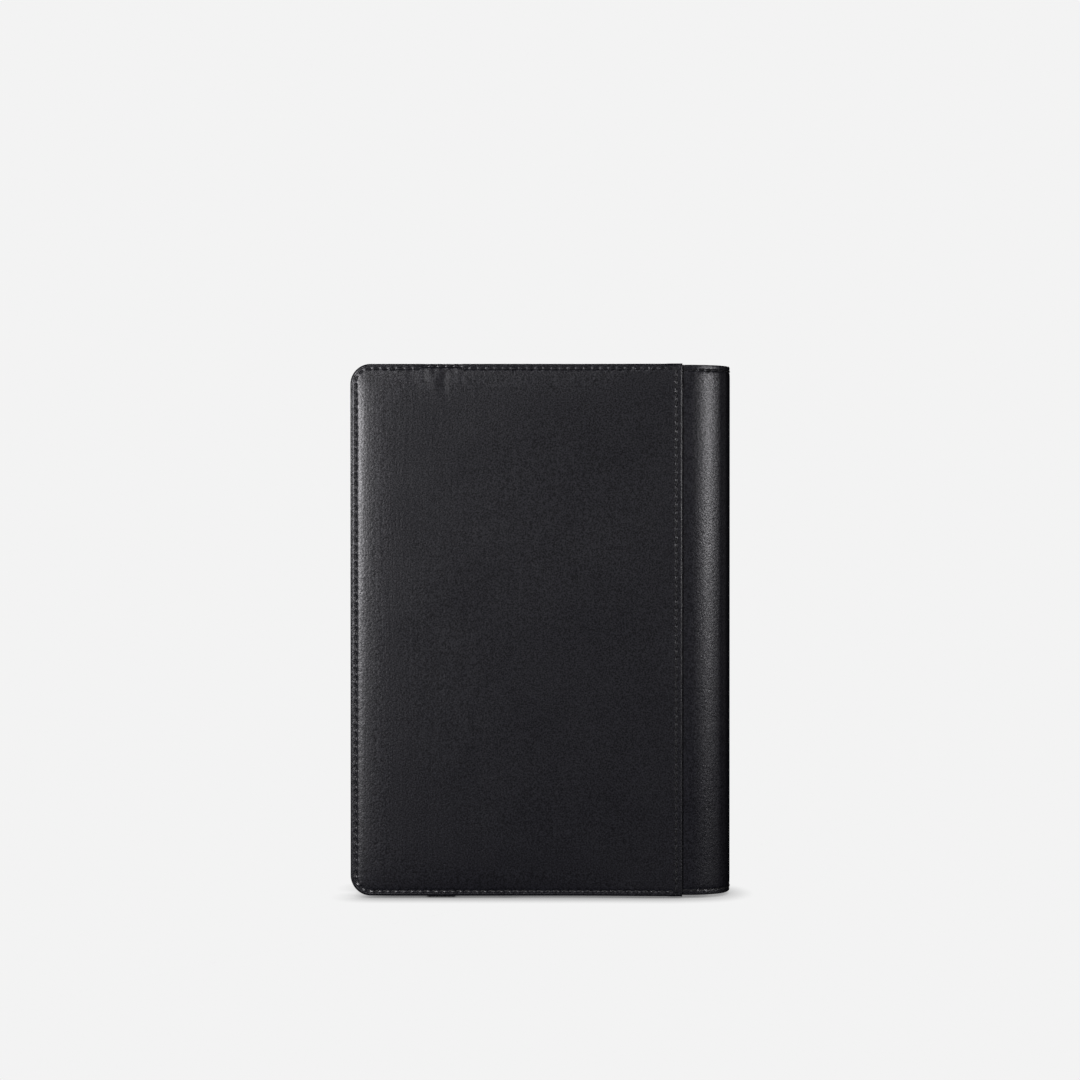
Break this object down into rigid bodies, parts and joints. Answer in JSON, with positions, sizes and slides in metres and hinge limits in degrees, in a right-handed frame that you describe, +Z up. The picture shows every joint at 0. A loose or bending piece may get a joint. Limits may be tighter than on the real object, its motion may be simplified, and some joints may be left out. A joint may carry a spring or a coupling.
{
  "type": "leather notebook cover",
  "caption": "Leather cover for an A5 notebook: two padded, sewn covers on a rounded spine that folds open, card slots inside, and an elastic closing strap.",
  "frame": {"origin": "on the surface that the closed cover stands on, under the middle of its box", "axes": "+Z up along the spine; the back cover faces -Y and the front cover +Y; the spine is at +X and the free edges at -X"},
  "size_m": [0.16, 0.0256, 0.2238],
  "materials": {
    "smooth_leather": "satin",
    "spine_leather": "satin",
    "sleeve_leather": "matte",
    "foam": "matte",
    "board": "matte",
    "lining_cloth": "matte",
    "thread": "satin",
    "elastic": "matte",
    "notebook_card": "matte",
    "pages": "matte",
    "band_cloth": "matte"
  },
  "bodies": {
    "back": {"back_outer_leather": "smooth_leather", "back_foam_padding": "foam", "back_stiffener_board": "board", "back_lining": "lining_cloth", "back_notebook_sleeve": "sleeve_leather", "back_edge_thread": "thread", "back_seam_thread": "thread", "back_spine_flange": "spine_leather", "back_spine_lining": "lining_cloth", "strap_top_arm": "elastic", "strap_bottom_arm": "elastic", "notebook_back_board": "notebook_card", "notebook_text_block": "pages", "notebook_head_band": "band_cloth", "notebook_tail_band": "band_cloth"},
    "spine": {"spine_leather": "spine_leather", "spine_lining": "lining_cloth", "notebook_spine_strip": "notebook_card"},
    "front": {"front_spine_flange": "spine_leather", "front_spine_lining": "lining_cloth", "front_outer_leather": "smooth_leather", "front_foam_padding": "foam", "front_stiffener_board": "board", "front_lining": "lining_cloth", "front_notebook_sleeve": "sleeve_leather", "front_edge_thread": "thread", "front_seam_thread": "thread", "card_slot_low": "sleeve_leather", "card_slot_middle": "sleeve_leather", "card_slot_high": "sleeve_leather", "notebook_front_board": "notebook_card"},
    "strap": {"strap_run": "elastic"}
  },
  "joints": [
    {"name": "spine_fold", "type": "hinge", "parent": "back", "child": "spine", "pos_m": [0.07722, -0.00706, 0.1], "axis": [0, 0, -1], "range_deg": [0, 90]},
    {"name": "cover_opening", "type": "hinge", "parent": "spine", "child": "front", "pos_m": [0.07722, 0.00636, 0.1], "axis": [0, 0, -1], "range_deg": [0, 90]},
    {"name": "strap_shift", "type": "slide", "parent": "back", "child": "strap", "axis": [0, -1, 0], "range_m": [0, 0.0257], "deforming": ["strap_run"]}
  ],
  "couplings": [
    {"joint": "spine_fold", "follows": "cover_opening", "ratio": 1}
  ]
}
